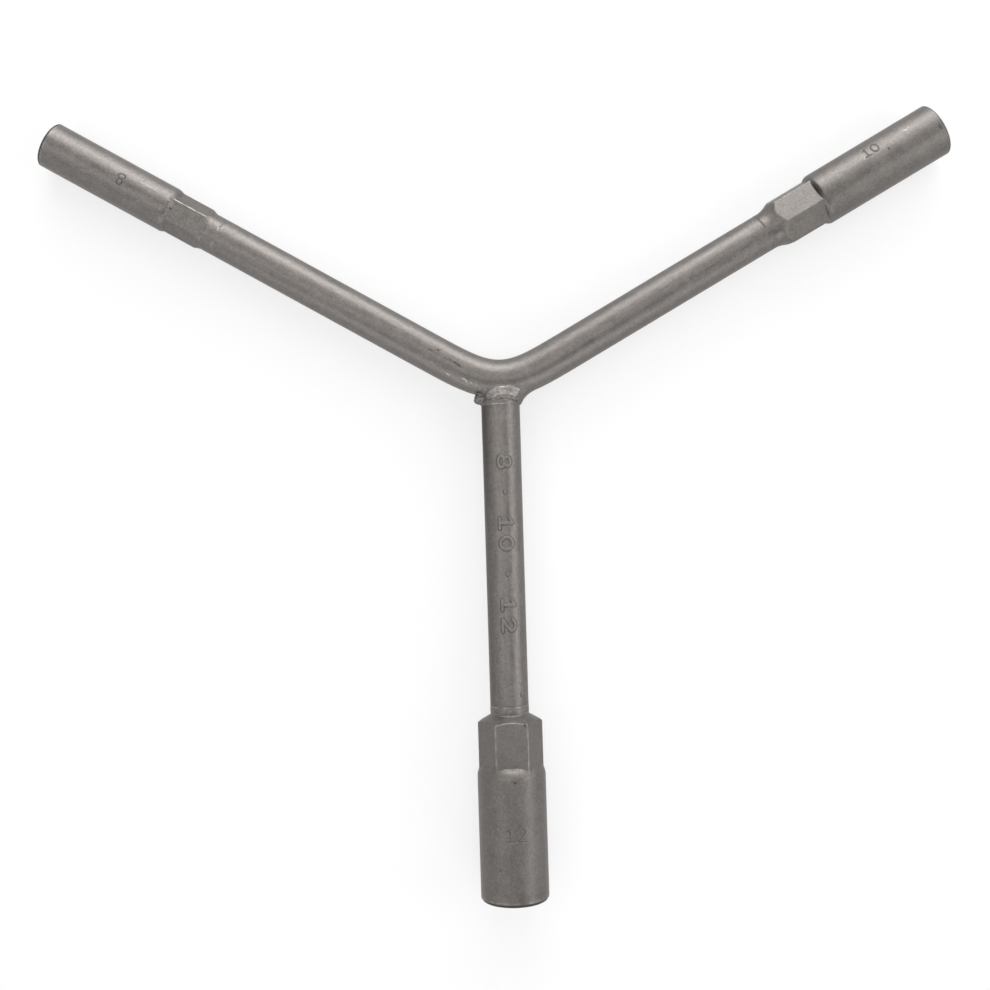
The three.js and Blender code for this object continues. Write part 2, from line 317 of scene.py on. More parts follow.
def stroke_distance(points, strokes):
    """How far each point is from the nearest stroke."""
    nearest = np.full(points.shape[:-1], np.inf)
    for stroke in strokes:
        for start, end in zip(stroke[:-1], stroke[1:]):
            way = end - start
            share = np.clip(((points - start) @ way) / (way @ way), 0, 1)
            gap = np.linalg.norm(points - start - share[..., None] * way, axis=-1)
            nearest = np.minimum(nearest, gap)
    return nearest


def print_height(glyphs, reading, upward, height, width, half_stroke, edge):
    """1 on the strokes of the glyphs and 0 beside them.
    reading and upward are each point's place in the word's frame; glyphs are (numeral, place) pairs."""
    scale = np.array([2 * width, height])
    strokes = [s * scale + (middle, 0) for numeral, middle in glyphs for s in NUMERALS[numeral]]
    places = [middle for _, middle in glyphs]
    start, end = min(places) - height, max(places) + height
    inside = (np.abs(upward) < height) & (reading > start) & (reading < end)
    points = np.stack(np.broadcast_arrays(reading, upward), axis=-1)
    gap = np.full(points.shape[:-1], np.inf)
    gap[inside] = stroke_distance(points[inside], strokes)
    return 1 - step_up(gap, half_stroke - edge / 2, half_stroke + edge / 2)


# The bars

# The arm bar is bent tightest in its middle: its angle follows the error function of the way along it
BEND_WIDTH = 9.6
BEND_REACH = 30.0
BEND_STEPS = 1200
ARM_SIDES = 96


def bend_line():
    """The bent part of the bar's centre line. Its straight ends point at the crossing."""
    half_turn = math.radians(90 - ARM_SPREAD / 2)
    along = np.linspace(-BEND_REACH, BEND_REACH, BEND_STEPS + 1)
    angle = half_turn * np.array([math.erf(s / BEND_WIDTH) for s in along])
    pace = along[1] - along[0]
    heading = (angle[1:] + angle[:-1]) / 2
    across = np.concatenate([[0], np.cumsum(np.cos(heading)) * pace])
    up = np.concatenate([[0], np.cumsum(np.sin(heading)) * pace])
    across = across - across[-1] / 2
    up = up - up[-1] + across[-1] * math.tan(half_turn)
    cut = across[-1] / math.cos(half_turn) - BEND_REACH
    return Facts(along=along, across=across, up=up, angle=angle, cut=cut)


BEND = bend_line()


def on_bend(along):
    """The centre line's place and angle, this far along the bar from its middle."""
    inside = np.clip(along, -BEND_REACH, BEND_REACH)
    angle = np.interp(inside, BEND.along, BEND.angle)
    across = np.interp(inside, BEND.along, BEND.across) + (along - inside) * np.cos(angle)
    up = np.interp(inside, BEND.along, BEND.up) + (along - inside) * np.sin(angle)
    return across, up, angle


def bar_radius(points, seed):
    """A drawn bar's radius: barely uneven."""
    return BAR_RADIUS - SKIN_DEPTH / 2 - dips(points, 4.5, seed)


NOSE_ROWS = 4
SEAM_ROUND = 0.01
SEAM_DROP = 0.003


def nose_profile(groove, nose):
    """How a bar ends: how deep and where, over a fine edge and down its bevel."""
    profile = [(-SEAM_DROP, groove - SEAM_DROP / 2)]
    for i in range(1, NOSE_ROWS + 1):
        share = i / NOSE_ROWS
        profile.append(((NOSE_RADIUS - BAR_RADIUS) * share, groove + (nose - groove) * share))
    return profile


def make_arm_bar():
    """One bar bent in its middle. It runs from the small socket's weld to the middle one's."""
    turn = np.radians(spaced(-180, 180, 360 / ARM_SIDES)[:-1])[None, :]
    small, middle = SOCKETS["socket_8mm"], SOCKETS["socket_10mm"]
    low, high = small.groove_start - BEND.cut, middle.groove_start - BEND.cut
    left = [(depth, -s) for depth, s in nose_profile(low, small.root - NOSE_GAP - BEND.cut)]
    right = nose_profile(high, middle.root - NOSE_GAP - BEND.cut)
    round_part = [(0, s) for s in spaced(-low + SEAM_ROUND, high - SEAM_ROUND, RING_STEP)]
    profile = np.array(left[::-1] + round_part + right)
    inset, along = profile[:, :1], profile[:, 1:]
    radius = bar_radius(ring_points(BAR_RADIUS, along, turn), 11) + inset
    rest = ring_points(radius, along, turn)
    across, up, angle = on_bend(along)
    sideways = radius * np.sin(turn)
    rows = np.stack([
        across + sideways * np.sin(angle),
        up - sideways * np.cos(angle),
        radius * np.cos(turn),
    ], axis=-1)
    none = np.zeros(radius.shape)
    marks = marks_of(rest, BAR_RADIUS, none, none)
    ends = rows[[0, -1]].mean(axis=1)
    dress("arm_bar_finish", rows, marks, ends, WRENCH, "arm_bar", "bar_steel", "arm_bar")


# Raised size numbers down the leg, where such tools carry lettering: each numeral and its place
LEG_GLYPHS = [
    ("8", 18.5), (".", 26.3), ("1", 34.2), ("0", 39.5), (".", 47.3), ("1", 55.2), ("2", 60.5),
]
# foot_dirt paints shade in a ring round the foot of each raised numeral
LEG_PRINT = Facts(
    side=0.5, height=3.9, width=3.1, half_stroke=0.37, edge=0.24, rise=0.15, step=0.13, wear=0.1,
    foot_width=0.22, foot_edge=0.16, foot_dirt=0.75,
)
LEG_SIDE_TURN = 4.5
LEG_SWELL = 0.03
LEG_SWELL_REACH = 12.0

# Painted shade on the leg's left below the weld: a band just under the collar, and a long band down the
# leg
UNDER_COLLAR_SHADE = Facts(strength=0.5, place=LEG_TOE + 0.2, reach=0.5, side=46.0, width=24.0)
DOWN_LEG_SHADE = Facts(strength=0.75, far=0.4, end=45.0, side=62.0, width=26.0)


def leg_grid():
    """The leg's rings, closer under the numerals: their depth and place, and the turns round them."""
    socket = SOCKETS["socket_12mm"]
    start = LEG_GLYPHS[0][1] - 0.7 * LEG_PRINT.width
    end = LEG_GLYPHS[-1][1] + 0.7 * LEG_PRINT.width
    tall = 0.62 * LEG_PRINT.height
    round_way = (-LEG_PRINT.side - tall, -LEG_PRINT.side + tall, LEG_PRINT.step)
    close_up = [math.degrees(way / BAR_RADIUS) for way in round_way]
    turn = np.radians(spaced(-180, 180, LEG_SIDE_TURN, close_up)[:-1])
    along = spaced(
        LEG_NOSE + 0.5, socket.groove_start - SEAM_ROUND, RING_STEP, (start, end, LEG_PRINT.step),
    )
    profile = [(-1.0, LEG_NOSE), (-0.2, LEG_NOSE + 0.3)] + [(0, s) for s in along]
    profile = np.array(profile + nose_profile(socket.groove_start, socket.root - NOSE_GAP))
    return profile[:, :1], profile[:, 1:], turn[None, :]


def leg_side_shade(along, degrees):
    """Painted shade on the leg's left: a band just under the weld's collar, and a long band down the leg
    that fades to a lighter share.
    """
    under_collar = UNDER_COLLAR_SHADE.strength * near(along, UNDER_COLLAR_SHADE.place, UNDER_COLLAR_SHADE.reach) * facing(degrees, UNDER_COLLAR_SHADE.side, UNDER_COLLAR_SHADE.width)
    down_leg = DOWN_LEG_SHADE.strength + (DOWN_LEG_SHADE.far - DOWN_LEG_SHADE.strength) * step_up(along, LEG_TOE, DOWN_LEG_SHADE.end)
    return np.maximum(under_collar, down_leg * facing(degrees, DOWN_LEG_SHADE.side, DOWN_LEG_SHADE.width))


def make_leg_bar():
    inset, along, turn = leg_grid()
    radius = bar_radius(ring_points(BAR_RADIUS, along, turn), 12) + inset
    radius = radius + LEG_SWELL * near(along, LEG_TOE, LEG_SWELL_REACH)
    words = (LEG_GLYPHS, along, -BAR_RADIUS * turn - LEG_PRINT.side, LEG_PRINT.height, LEG_PRINT.width)
    print_on = print_height(*words, LEG_PRINT.half_stroke, LEG_PRINT.edge)
    foot = print_height(*words, LEG_PRINT.half_stroke + LEG_PRINT.foot_width, LEG_PRINT.foot_edge)
    radius = radius + LEG_PRINT.rise * print_on
    rows = ring_points(radius, along, turn)
    # Painted shade down the leg's left and round the foot of each raised numeral
    grime = leg_side_shade(along, np.degrees(turn)) + LEG_PRINT.foot_dirt * np.clip(foot - print_on, 0, 1)
    marks = marks_of(rows, BAR_RADIUS, LEG_PRINT.wear * print_on, grime)
    ends = rows[[0, -1]].mean(axis=1)
    dress("leg_bar_finish", rows, marks, ends, LEG, "leg_bar", "bar_steel", "leg_bar")


# Butt welds: rings of weld metal, ground nearly flush

SEAM_GAP = 0.001
RING_INSIDE = 4.1
RING_SIDES = 144
RING_ROWS = 19
RING_EDGE_WIDTH = 0.12
RING_DIRT = 0.15


def make_butt_weld(node, seed):
    socket = SOCKETS[node]
    half = socket.groove_width / 2 - SEAM_GAP
    turn = np.radians(np.linspace(-180, 180, RING_SIDES + 1)[:-1])[None, :]
    outside = []
    for share in np.concatenate([[-1], np.linspace(-0.99, 0.99, RING_ROWS), [1]]):
        crown = socket.ring_proud * (1 - share ** 4) - SEAM_DROP * share ** 8
        outside.append((BAR_RADIUS - SKIN_DEPTH + crown, socket.root + half * share))
    lean = (RING_INSIDE - NOSE_RADIUS) / (BAR_RADIUS - NOSE_RADIUS)
    profile = [(RING_INSIDE, socket.root - half * lean)] + outside
    profile.append((RING_INSIDE, socket.root + half * lean))
    radius, along = (np.array(column)[:, None] for column in zip(*profile))
    flat = ring_points(radius, along, turn)
    middle = np.clip(1 - np.abs(along - socket.root) / half, 0, 1)
    radius = radius + middle * socket.ring_lumps * waves(flat, 1.8, seed)
    rows = ring_points(radius, along, turn)
    edge = near(np.abs(along - socket.root), half - RING_EDGE_WIDTH / 2, RING_EDGE_WIDTH)
    edge = edge * (radius > BAR_RADIUS - 0.5)
    patchy = np.clip(0.6 + 0.5 * waves(flat * [1, 0.4, 1], 4.0, seed + 1), 0, 1)
    # The ring's edges carry a painted highlight in patches, with darker joints between them
    wear, grime = socket.ring_wear * edge * patchy, RING_DIRT * edge * (1 - patchy)
    marks = marks_of(rows, BAR_RADIUS, wear, grime)
    weld = node + "_weld"
    dress(weld + "_finish", rows, marks, None, ARMS[node], "weld", "weld_steel", weld)


# Sockets

EDGE_ROUNDING = 0.22
STAMP_DEPTH = 0.11
STAMP_HALF_STROKE = 0.19
STAMP_EDGE = 0.2
STAMP_STEP = 0.11
BORE_ROUNDING = 0.5
LEAD_IN_ROUNDING = 0.08
PILOT_INSET = 0.05
DRILL_POINT = 118.0
DRILL_POINT_ROWS = 4

TURNING_PITCH = 0.6
TURNING_DEPTH = 0.008
CORNER_WIDTH = 0.35
RIDGE_WIDTH = 0.1
RIDGE_WEAR = 0.7
CROWN_ROUNDING = 0.06
NECK_FALL = 6.0
SHOULDER_FALL = 10.0
DULL_WIDTH = 35.0
SHADE_WIDTH = 30.0
STAMP_DIRT = 0.5


def hex_radius(turn, flats, hex_turn, rounding):
    """Distance from the axis to a hexagon's side, with its corners rounded."""
    side = (np.degrees(turn) - hex_turn) % 60 - 30
    other = 60 - np.abs(side)
    nearest = flats / 2 / np.cos(np.radians(side))
    second = flats / 2 / np.cos(np.radians(other))
    corner = near(nearest, second, CORNER_WIDTH)
    return soft_min(nearest, second, rounding), corner


def crown_radius(socket, along):
    """The shank before the hexagon: the neck, then a flare or a cone up to the corners."""
    corner = socket.hex_corners / 2
    rise, run = corner - BAR_RADIUS, socket.crown_length
    into = np.clip(along - socket.neck_end, 0, run)
    if socket.crown_is_curved:
        arc_radius = (run * run + rise * rise) / (2 * rise)
        return BAR_RADIUS + arc_radius - np.sqrt(arc_radius ** 2 - into ** 2)
    return BAR_RADIUS + rise * into / run


def shoulder_radius(socket, along):
    """The barrel's end: rounded from the flats up to the barrel."""
    low = socket.hex_flats / 2
    share = (along - socket.shoulder_start) / socket.shoulder_length
    rise = (1 - (1 - np.clip(share, 0, 1)) ** 2) ** socket.step_softness
    below = np.minimum(share, 0) * SHOULDER_FALL * socket.shoulder_length
    return low + (socket.barrel_radius - low) * rise + below


def stamp_print(socket, along, turn):
    down = along - socket.stamp_along
    round_way = socket.barrel_radius * (turn - math.radians(socket.stamp_turn))
    lean = math.radians(socket.stamp_lean)
    reading = round_way * math.cos(lean) + down * math.sin(lean)
    upward = -round_way * math.sin(lean) + down * math.cos(lean)
    height, width = socket.stamp_height, 0.55 * socket.stamp_height
    word = (socket.stamp_glyphs, reading, upward, height, width)
    return print_height(*word, STAMP_HALF_STROKE, STAMP_EDGE)


def socket_form(socket, along, turn):
    """The radii that a socket's outside is made of, before its stamp."""
    flats, corner = hex_radius(turn, socket.hex_flats, socket.hex_turn, EDGE_ROUNDING)
    crown = crown_radius(socket, along)
    neck = BAR_RADIUS - NECK_FALL * np.maximum(along - socket.neck_end - 0.4, 0)
    body = soft_max(soft_min(crown, flats, EDGE_ROUNDING), neck, CROWN_ROUNDING)
    turned_part = 1 - step_up(along, socket.hex_start - 0.6, socket.hex_start)
    turned_part = turned_part * step_up(along, socket.neck_end - 1.0, socket.neck_end)
    ripple = 0.5 + 0.5 * np.cos(2 * math.pi * along / TURNING_PITCH)
    body = body - TURNING_DEPTH * turned_part * ripple
    shoulder = shoulder_radius(socket, along)
    return Facts(flats=flats, corner=corner, crown=crown, body=body, shoulder=shoulder)


def edge_wear(socket, along, turn, form):
    """How brightly the hexagon's edges and the mouth's edge are worn."""
    on_barrel = ring_points(socket.barrel_radius, along, turn)
    on_hex = step_up(along, socket.neck_end, socket.hex_start) * (form.body > form.shoulder)
    ridge = near(form.crown, form.flats, RIDGE_WIDTH)
    ridge = ridge * (along < socket.hex_start + 0.3) * (form.crown > BAR_RADIUS + 0.05)
    worn = np.clip(0.6 + 0.4 * waves(on_barrel, 3.0, 71), 0.1, 1)
    sharp = socket.edge_wear * (1 - facing(np.degrees(turn), socket.dull_side, DULL_WIDTH))
    wear = sharp * np.maximum(form.corner * on_hex, RIDGE_WEAR * ridge) * worn
    rubbed = np.clip(0.7 + 0.4 * waves(on_barrel, 2.0, 72), 0.1, 1)
    at_mouth = near(socket.edge - along, socket.mouth_dirt + 0.35, 0.25)
    return np.maximum(wear, socket.mouth_wear * rubbed * at_mouth)


def edge_shade(socket, along, turn, form):
    """How much shade is painted in the step at the barrel's end, on one side, and along the mouth's
    edge.
    """
    in_step = step_up(form.shoulder - form.body, -0.4, 0.1)
    in_step = in_step * (1 - step_up(along, socket.barrel_start - 0.9, socket.barrel_start))
    # Painted shade in the step, where the barrel's end overhangs the flats
    painted_shade = socket.step_dirt * in_step * facing(np.degrees(turn), socket.dirt_side, SHADE_WIDTH)
    # Painted shade along the barrel's last stretch at the mouth
    above = step_up(socket.edge - along, socket.mouth_dirt - 0.1, socket.mouth_dirt + 0.1)
    return np.maximum(painted_shade, 1 - above)


def socket_outside(socket, along, turn):
    """Radius of a socket's outside, where it is worn bright, and where it is darkened by grime in its
    stamp and by painted shade in its step and at its mouth.
    """
    form = socket_form(socket, along, turn)
    pressed = stamp_print(socket, along, turn)
    radius = soft_max(form.body, form.shoulder, socket.step_rounding) - STAMP_DEPTH * pressed
    wear = edge_wear(socket, along, turn, form)
    grime = np.maximum(edge_shade(socket, along, turn, form), STAMP_DIRT * pressed)
    return radius, wear, grime


def stamp_reach(socket, round_way):
    """Half the stamp's size along its socket, or round it."""
    across = abs(math.cos(math.radians(socket.stamp_lean)))
    wide = (len(socket.stamp_glyphs) + 0.2) * 0.45 * socket.stamp_height
    tall = 0.6 * socket.stamp_height
    return wide * across + tall * (1 - across) if round_way else tall * across + wide * (1 - across)


def socket_turns(socket):
    """The turns round a socket, closer at its hexagon's corners and under its stamp."""
    corner_turn = math.degrees(EDGE_ROUNDING / socket.hex_corners * 2)
    close_ups = []
    for corner in range(-4, 4):
        middle = socket.hex_turn + 60 * corner
        close_ups.append((middle - 3 * corner_turn, middle + 3 * corner_turn, corner_turn / 3))
    middle, reach = socket.stamp_turn, math.degrees(stamp_reach(socket, True) / socket.barrel_radius)
    fine = math.degrees(STAMP_STEP / socket.barrel_radius)
    close_ups.append((middle - reach, middle + reach, fine))
    return np.radians(spaced(-180, 180, 4, *close_ups)[:-1])


# Wear, and painted shade, over the mouth's chamfer and across its flat rim
RIM_WEAR = np.array([0.0, 0.0, 0.0, 0.1, 0.4, 0.4, 0.5])
RIM_SHADE = np.array([0.8, 1.0, 1.0, 0.5, 0.0, 0.0, 0.0])
# The bore is darker deeper in, from this share at its lead-in to fully dark at its drill point
BORE_DARKENING = 0.4


def socket_rings(socket):
    """Where the rings of a socket's outside lie, closer at its edges and under its stamp."""
    middle, tall = socket.stamp_along, stamp_reach(socket, False)
    return spaced(
        socket.groove_end + SEAM_ROUND, socket.edge, RING_STEP,
        (socket.neck_end - 0.3, socket.hex_start + 1.0, 0.14),
        (socket.shoulder_start - 0.6, socket.shoulder_start + 0.6, 0.05),
        (socket.shoulder_start + 0.6, socket.barrel_start + 0.4, 0.12),
        (middle - tall, middle + tall, STAMP_STEP),
        (socket.reach - 1.6, socket.reach, 0.1),
    )[:, None]


def mouth_radius(socket):
    """The lead-in cone's radius where it meets the rim."""
    return socket.bore_flats / math.sqrt(3) + socket.lead_in


def rim_profile(socket):
    """The mouth's chamfer and its flat rim, as radii and places along the arm."""
    barrel = socket.barrel_radius - SKIN_DEPTH - WAVE_HEIGHT
    chamfer = [
        (barrel - socket.chamfer_width * share, socket.reach - socket.chamfer_length * (1 - share))
        for share in (0.15, 0.5, 0.85)
    ]
    edge = barrel - socket.chamfer_width
    width = mouth_radius(socket) - edge
    return chamfer + [(edge + width * share, socket.reach) for share in (0.12, 0.5, 0.88, 1.0)]


def bore_rings(socket, turn):
    """The bore's rings, from its lead-in cone to its drill point, and where that point lies."""
    widest = mouth_radius(socket)
    bore_hex, _ = hex_radius(turn, socket.bore_flats, socket.hex_turn, BORE_ROUNDING)
    rings = []
    for depth in spaced(0.08, socket.hex_depth, 1.2, (0, widest - socket.bore_flats / 2, 0.1)):
        bore = soft_max(bore_hex, widest - depth, LEAD_IN_ROUNDING)
        rings.append(ring_points(bore, socket.reach - depth, turn)[0])
    pilot = socket.bore_flats / 2 - PILOT_INSET
    point_length = pilot / math.tan(math.radians(DRILL_POINT / 2))
    inside = [(pilot, socket.hex_depth + 0.3)]
    for row in range(DRILL_POINT_ROWS):
        share = row / DRILL_POINT_ROWS
        inside.append((pilot * (1 - share), socket.pilot_depth + point_length * share))
    rings += [ring_points(r, socket.reach - depth, turn)[0] for r, depth in inside]
    return rings, socket.reach - socket.pilot_depth - point_length


def make_socket(node, seed):
    """A socket's whole skin: neck, hexagon and barrel outside, then the rim, and the bore."""
    socket = SOCKETS[node]
    turn = socket_turns(socket)[None, :]
    along = socket_rings(socket)
    radius, wear, grime = socket_outside(socket, along, turn)
    radius = radius - SKIN_DEPTH - dips(ring_points(radius, along, turn), 5.0, seed)
    back = [
        (NOSE_RADIUS, socket.root + NOSE_GAP),
        (BAR_RADIUS - SKIN_DEPTH - SEAM_DROP, socket.groove_end + SEAM_GAP),
    ]
    bore, bore_end = bore_rings(socket, turn)
    rows = [ring_points(r, s, turn)[0] for r, s in back]
    rows += list(ring_points(radius, along, turn))
    rows += [ring_points(r, s, turn)[0] for r, s in rim_profile(socket)]
    rows = np.array(rows + bore)

    clean = np.zeros((len(back), turn.shape[1]))
    everywhere = np.ones(turn.shape[1])
    inside_wear = np.outer(np.concatenate([RIM_WEAR, np.zeros(len(bore))]), everywhere)
    # Painted shade over the chamfer and rim, then the bore darker deeper in
    inside_darkening = np.concatenate([RIM_SHADE, np.linspace(BORE_DARKENING, 1, len(bore))])
    inside_darkening = np.outer(inside_darkening, everywhere)
    wear = np.concatenate([clean, wear, inside_wear])
    grime = np.concatenate([clean, grime, inside_darkening])
    marks = marks_of(rows, socket.barrel_radius, wear, grime)
    ends = np.array([(0, socket.root + NOSE_GAP, 0), (0, bore_end, 0)])
    dress(node + "_finish", rows, marks, ends, ARMS[node], node, "socket_steel", node)


# Centre weld: metal laid all round the leg's nose, with a hollow fillet towards the picture's right, a
# drop at its left, a low collar at its toe, and a bright patch where its front was dressed

WELD_CAP = 9.4
WELD_CORE = 2.0
WELD_START = -3.4
WELD_END = 4.5
WELD_STEP = 0.065
WELD_SIDES = 288
UNDER_BAR = 0.05
BEND_SEARCHES = 6
BEND_SEARCH_PACE = 0.75
REACH_SEARCHES = 80
REACH_SEARCH_PACE = 0.6

# Its features, in the leg's frame. Places and sizes are in millimetres, sides are turns in degrees.
TONGUE = Facts(toe=2.0, slope=0.11, end=-1.0, end_slope=0.5, end_rounding=0.6)
FILLET = Facts(all_round=1.1, blend=3.7, side=-90, width=48, least=0.2)
ROUGH = Facts(everywhere=0.012, foot=0.045, foot_place=2.0, foot_reach=0.5, foot_width=55)
DROP = Facts(
    middle=np.array([5.55, 2.1, 1.2]), radius=1.35, blend=0.65, lumps=0.05, side=90, pinch=0.35,
    pinch_width=35,
)
CLEFT = Facts(middle=(5.3, 1.5), slope=0.31, width=0.17, depth=0.12)
COLLAR = Facts(start=2.55, toe=3.7, proud=0.15, blend=0.12)
GROOVE = Facts(
    top=2.4, arch=0.04, arch_middle=-0.8, flatness=0.8, depth=0.12, side=-12, width=50, blend=0.1,
)
CREASE = Facts(across=4.4, width=0.12, depth=0.06)
PATCH = Facts(
    middle=(1.2, -1.45), half=(5.0, 2.5), foot=-1.3, foot_arch=0.07, right=5.15, right_slope=0.45,
    wobble=0.05, ragged=0.2, rise=0.05, foot_rise=0.08,
)
BRUSH = Facts(middle=(0.8, -6.0), radius=6.5)


def bend_distance(points):
    """Signed distance to the bent bar, from points in the leg's frame."""
    lean = math.radians(LEG_LEAN)
    across = points[..., 1] * math.sin(lean) - points[..., 0] * math.cos(lean)
    up = -points[..., 0] * math.sin(lean) - points[..., 1] * math.cos(lean)
    along = across
    for _ in range(BEND_SEARCHES):
        line_across, line_up, angle = on_bend(along)
        ahead = (across - line_across) * np.cos(angle) + (up - line_up) * np.sin(angle)
        along = along + BEND_SEARCH_PACE * ahead
    line_across, line_up, _ = on_bend(along)
    return np.hypot(np.hypot(across - line_across, up - line_up), points[..., 2]) - BAR_RADIUS


def bare_distance(points):
    """Signed distance to the two bars without any weld metal."""
    leg = np.hypot(points[..., 0], points[..., 2]) - BAR_RADIUS
    return np.minimum(bend_distance(points), np.maximum(leg, 1.0 - points[..., 1]))


def tongue_distance(points):
    """Signed distance to the metal round the leg's end, which sinks into the bend."""
    sunk = TONGUE.slope * np.maximum(TONGUE.toe - points[..., 1], 0)
    sunk = sunk + TONGUE.end_slope * soft_max(TONGUE.end - points[..., 1], 0, TONGUE.end_rounding)
    return np.hypot(points[..., 0], points[..., 2]) - BAR_RADIUS + sunk


def patch_cover(points):
    """1 on the dressed patch of the weld's front: an oval with a ragged foot, cut off at its right."""
    across, up = -points[..., 0], -points[..., 1]
    middle, half = PATCH.middle, PATCH.half
    oval = np.hypot((across - middle[0]) / half[0], (up - middle[1]) / half[1])
    oval = oval + PATCH.wobble * waves(points * [1, 1, 0], 2.4, 35)
    ragged = PATCH.ragged * waves(points * [1, 0, 0], 1.7, 34)
    foot = PATCH.foot - PATCH.foot_arch * (across - 1) ** 2
    inside = np.minimum((1 - oval) * half[1], up - foot - ragged)
    inside = np.minimum(inside, PATCH.right + PATCH.right_slope * up - across)
    return step_up(inside, -0.05, 0.12) * (points[..., 2] > 3)


def groove_place(points):
    """Where the groove above the collar runs: arched across the leg."""
    return GROOVE.top + GROOVE.arch * (points[..., 0] - GROOVE.arch_middle) ** 2


def crease_near(points):
    """1 along the short crease between the collar and the fillet."""
    on_line = near(-points[..., 0], CREASE.across, CREASE.width) * (points[..., 2] > 0)
    return on_line * step_up(points[..., 1], 1.4, 2.0) * (1 - step_up(points[..., 1], 3.5, 3.9))


def cleft_near(points):
    """1 along the dark cleft across the drop."""
    line = CLEFT.middle[1] + CLEFT.slope * (points[..., 0] - CLEFT.middle[0])
    on_front = step_up(points[..., 0], 4.4, 5.0) * (points[..., 2] > -0.5)
    return near(points[..., 1], line, CLEFT.width) * on_front


def laid_metal(points, turn):
    """Signed distance to the bars and the weld between them: its fillet, lumps and raised patch."""
    down = points[..., 1]
    blend = FILLET.all_round + FILLET.blend * facing(turn, FILLET.side, FILLET.width)
    blend = blend - DROP.pinch * facing(turn, DROP.side, DROP.pinch_width)
    run = step_up(down, -2.2, 0.6) * (1 - step_up(down, 3.5, 4.4))
    blend = blend * (FILLET.least + (1 - FILLET.least) * run)
    metal = soft_min(bend_distance(points), tongue_distance(points), blend)
    patch = patch_cover(points)
    on_foot = near(down, ROUGH.foot_place, ROUGH.foot_reach) * facing(turn, 0, ROUGH.foot_width)
    rough = ROUGH.everywhere + ROUGH.foot * on_foot
    lumps = rough * (waves(points, 1.6, 31) + 0.6 * waves(points, 0.7, 33))
    metal = metal - lumps * step_up(down, -1.2, -0.4) * (1 - patch)
    return metal - (PATCH.rise + PATCH.foot_rise * step_up(down, -1.0, 1.5)) * patch


def with_collar(metal, points, turn):
    """The metal with the collar at its toe, and the groove and the crease above that."""
    proud = np.hypot(points[..., 0], points[..., 2]) - BAR_RADIUS
    middle, half = (COLLAR.start + COLLAR.toe) / 2, (COLLAR.toe - COLLAR.start) / 2
    collar = np.maximum(proud - COLLAR.proud, np.abs(points[..., 1] - middle) - half)
    metal = soft_min(metal, collar, COLLAR.blend)
    into = (points[..., 1] - groove_place(points)) * GROOVE.flatness
    depth = GROOVE.depth * facing(turn, GROOVE.side, GROOVE.width)
    metal = soft_max(metal, depth - np.hypot(proud - COLLAR.proud, into), GROOVE.blend)
    return metal + CREASE.depth * crease_near(points)


def weld_distance(points):
    """Signed distance to the bars with all the weld metal laid between them."""
    turn = np.degrees(np.arctan2(points[..., 0], points[..., 2]))
    metal = with_collar(laid_metal(points, turn), points, turn)
    drop = np.linalg.norm(points - DROP.middle, axis=-1) - DROP.radius
    drop = drop - DROP.lumps * waves(points, 1.6, 32)
    return soft_min(metal, drop, DROP.blend) + CLEFT.depth * cleft_near(points)


def reach_of(distance, along, turn):
    """How far out from the leg's axis a surface lies, found by stepping inwards."""
    radius = np.full(np.broadcast_shapes(along.shape, turn.shape), WELD_CAP)
    for _ in range(REACH_SEARCHES):
        gap = distance(ring_points(radius, along, turn))
        radius = np.maximum(radius - REACH_SEARCH_PACE * np.maximum(gap, 0), WELD_CORE)
    return radius


def weld_marks(rows, degrees):
    """Where the weld is worn bright, with a highlight painted along the collar's toe and shade painted
    in its groove, cleft and crease. On the patch, wrap follows the brush lines.
    """
    across, up = -rows[..., 0], -rows[..., 1]
    bright = 0.75 + 0.05 * across + 0.08 * up + 0.16 * waves(rows, 1.5, 36)
    bright = patch_cover(rows) * np.clip(bright, 0.3, 1)
    # Painted highlight along the collar's toe, towards the front
    toe = near(rows[..., 1], COLLAR.toe - 0.1, 0.22) * facing(degrees, 6, 26)
    # Painted shade in the groove above the collar, in the cleft across the drop and in the crease beside
    # the fillet
    painted_shade = near(rows[..., 1], groove_place(rows), 0.13) * facing(degrees, GROOVE.side, 42)
    painted_shade = painted_shade + 0.6 * cleft_near(rows) + 0.4 * crease_near(rows)
    out = np.hypot(across - BRUSH.middle[0], up - BRUSH.middle[1])
    swept = BRUSH.radius * np.arctan2(across - BRUSH.middle[0], up - BRUSH.middle[1])
    return {
        "rest": rows, "wrap": np.stack([out, swept, 0 * out], axis=-1),
        "wear": np.clip(bright + toe, 0, 1), "grime": np.clip(0.8 * painted_shade, 0, 1) * (1 - bright),
    }


def make_centre_weld():
    """The weld's skin. Where no metal was laid it runs just under the bars."""
    along = spaced(WELD_START, WELD_END, WELD_STEP)[:, None]
    turn = np.radians(np.linspace(-180, 180, WELD_SIDES + 1)[:-1])[None, :]
    laid = reach_of(weld_distance, along, turn)
    raised = laid - reach_of(bare_distance, along, turn)
    rows = ring_points(laid - UNDER_BAR * (1 - step_up(raised, -0.01, 0.04)), along, turn)
    marks = weld_marks(rows, np.degrees(turn))
    ends = rows[[0, -1]].mean(axis=1)
    dress("centre_weld_finish", rows, marks, ends, LEG, "centre_weld", "weld_steel", "centre_weld")


# Materials

